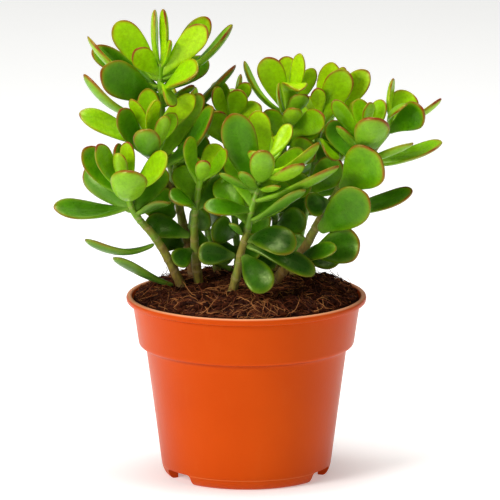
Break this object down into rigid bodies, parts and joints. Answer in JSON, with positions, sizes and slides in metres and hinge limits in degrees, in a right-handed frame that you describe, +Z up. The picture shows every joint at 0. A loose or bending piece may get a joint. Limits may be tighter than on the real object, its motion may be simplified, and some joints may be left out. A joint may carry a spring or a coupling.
{
  "type": "potted jade plant",
  "caption": "Bushy jade plant with thick round leaves on upright woody stems, growing in a round tapered plastic nursery pot with a rolled lip and foot notches.",
  "frame": {"origin": "on the pot's axis, in the plane its foot ring stands on", "axes": "+Z up along the pot's axis; -Y towards the plant's front; +X to the right seen from the front"},
  "size_m": [0.193, 0.1222, 0.236],
  "materials": {
    "pot": "satin orange terracotta-coloured plastic",
    "soil": "rough dark potting soil with loose brown fibres",
    "bark": "ridged brown and green bark",
    "old_leaf": "smooth waxy dark green",
    "young_leaf": "smooth waxy yellow-green with reddish rims"
  },
  "bodies": {
    "root": {"leaf_back_left_1": "old_leaf", "leaf_centre_1": "old_leaf", "leaf_centre_2": "old_leaf", "leaf_centre_3": "old_leaf", "leaf_centre_4": "old_leaf", "leaf_centre_5": "old_leaf", "leaf_crown_left_1": "old_leaf", "leaf_crown_left_2": "old_leaf", "leaf_crown_left_3": "old_leaf", "leaf_crown_left_4": "old_leaf", "leaf_crown_left_5": "old_leaf", "leaf_crown_left_6": "old_leaf", "leaf_low_left_1": "old_leaf", "leaf_low_left_2": "old_leaf", "leaf_rear_1": "old_leaf", "leaf_rear_2": "old_leaf", "leaf_rear_right_1": "old_leaf", "leaf_right_1": "old_leaf", "leaf_right_2": "old_leaf", "leaf_right_3": "old_leaf", "leaf_right_4": "old_leaf", "leaf_right_5": "old_leaf", "leaf_right_6": "old_leaf", "leaf_right_top_1": "old_leaf", "leaf_right_top_2": "old_leaf", "leaf_slim_left_1": "old_leaf", "leaf_slim_left_2": "old_leaf", "leaf_slim_left_3": "old_leaf", "pot": "pot", "rosette_back_left": "young_leaf", "rosette_back_right": "young_leaf", "rosette_centre": "young_leaf", "rosette_crown_left": "young_leaf", "rosette_far_right": "young_leaf", "rosette_low_left": "young_leaf", "rosette_mid_left": "young_leaf", "rosette_rear": "young_leaf", "rosette_rear_left": "young_leaf", "rosette_rear_right": "young_leaf", "rosette_right": "young_leaf", "rosette_right_top": "young_leaf", "rosette_slim_left": "young_leaf", "soil": "soil", "stem_back_left": "bark", "stem_back_right": "bark", "stem_centre": "bark", "stem_crown_left": "bark", "stem_low_left": "bark", "stem_rear": "bark", "stem_rear_left": "bark", "stem_rear_right": "bark", "stem_right": "bark", "stem_right_top": "bark", "stem_slim_left": "bark"}
  },
  "joints": []
}
